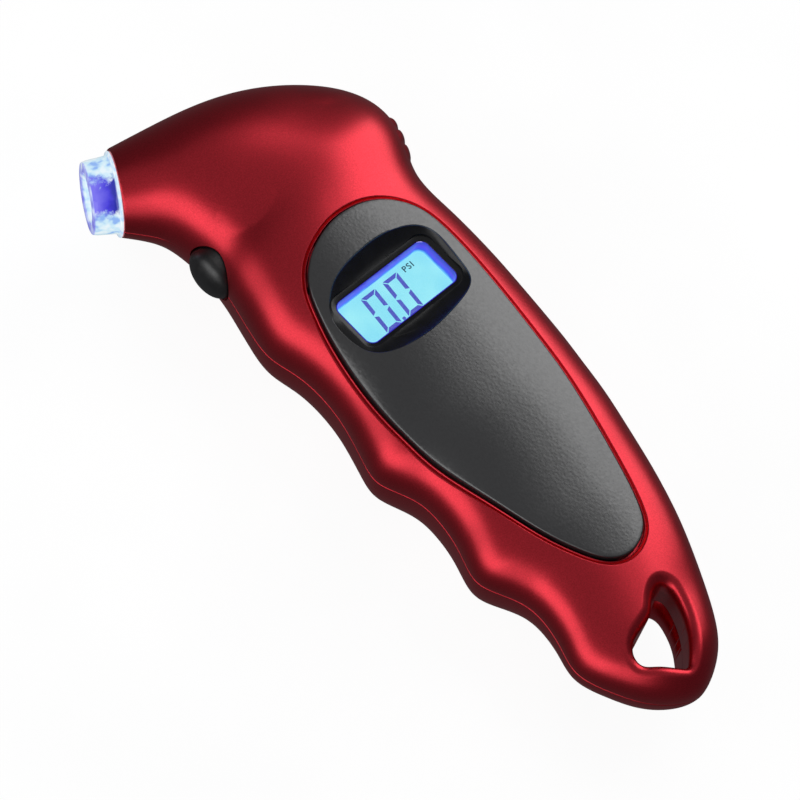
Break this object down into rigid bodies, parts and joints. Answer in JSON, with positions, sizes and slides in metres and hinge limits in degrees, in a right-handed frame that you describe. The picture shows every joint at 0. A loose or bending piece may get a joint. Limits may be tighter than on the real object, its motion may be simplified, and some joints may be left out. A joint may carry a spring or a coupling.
{
  "type": "tire pressure gauge",
  "caption": "Pistol-shaped digital tire pressure gauge with clear lit nozzle, side button, leaf-shaped display plate, finger grooves and lanyard hole.",
  "frame": {"origin": "on the surface the gauge lies on, under the middle of its box", "axes": "+X along the display to the right, +Y up the display towards the head, +Z out of the front face"},
  "size_m": [0.0598, 0.1548, 0.03],
  "materials": {
    "shell_red": "satin metallic lacquer over moulded plastic",
    "plate_black": "fine pebble texture",
    "inner_black": "moulded",
    "white_plastic": "satin, light from the display",
    "clear_lens": "clear window",
    "lcd": "lit display",
    "backlight": "lit diffuser",
    "zebra": "conductive strip",
    "board_green": "solder mask",
    "chip_black": "moulded",
    "tube_silicone": "translucent",
    "nozzle_clear": "clear, lit blue from behind",
    "seal_rubber": "matte",
    "brass": "turned",
    "lamp_blue": "lit lamp",
    "button_black": "soft matte",
    "steel": "plain"
  },
  "bodies": {
    "case": {"front_shell": "shell_red", "rear_shell": "shell_red", "face_plate": "plate_black", "lcd_frame": "white_plastic", "display_window": "clear_lens", "lcd_glass": "lcd", "backlight_panel": "backlight", "zebra_connector": "zebra", "circuit_board": "board_green", "switch_board": "board_green", "controller_chip": "chip_black", "pressure_sensor": "chip_black", "tact_switch": "chip_black", "air_tube": "tube_silicone", "nozzle_tip": "nozzle_clear", "valve_seal": "seal_rubber", "depressor_pin": "brass", "nozzle_core": "brass", "nozzle_lamp": "lamp_blue", "battery_tray": "inner_black", "coin_cell": "steel", "button_cell_1": "steel", "button_cell_2": "steel", "button_cell_3": "steel", "coin_contact": "steel", "stack_contact_plus": "steel", "stack_contact_minus": "steel", "shell_screw_1": "steel", "shell_screw_2": "steel", "shell_screw_3": "steel", "shell_screw_4": "steel", "board_screw_1": "steel", "board_screw_2": "steel"},
    "button": {"power_button": "button_black", "switch_plunger": "white_plastic"},
    "door": {"battery_door": "shell_red"}
  },
  "joints": [
    {"name": "power_button_press", "type": "slide", "parent": "case", "child": "button", "axis": [1, 0, 0], "range_m": [0, 0.0008], "stiffness_N_per_m": 2500, "springref_m": -0.0005},
    {"name": "battery_door_slide", "type": "slide", "parent": "case", "child": "door", "axis": [0, -1, 0], "range_m": [0, 0.012]}
  ]
}
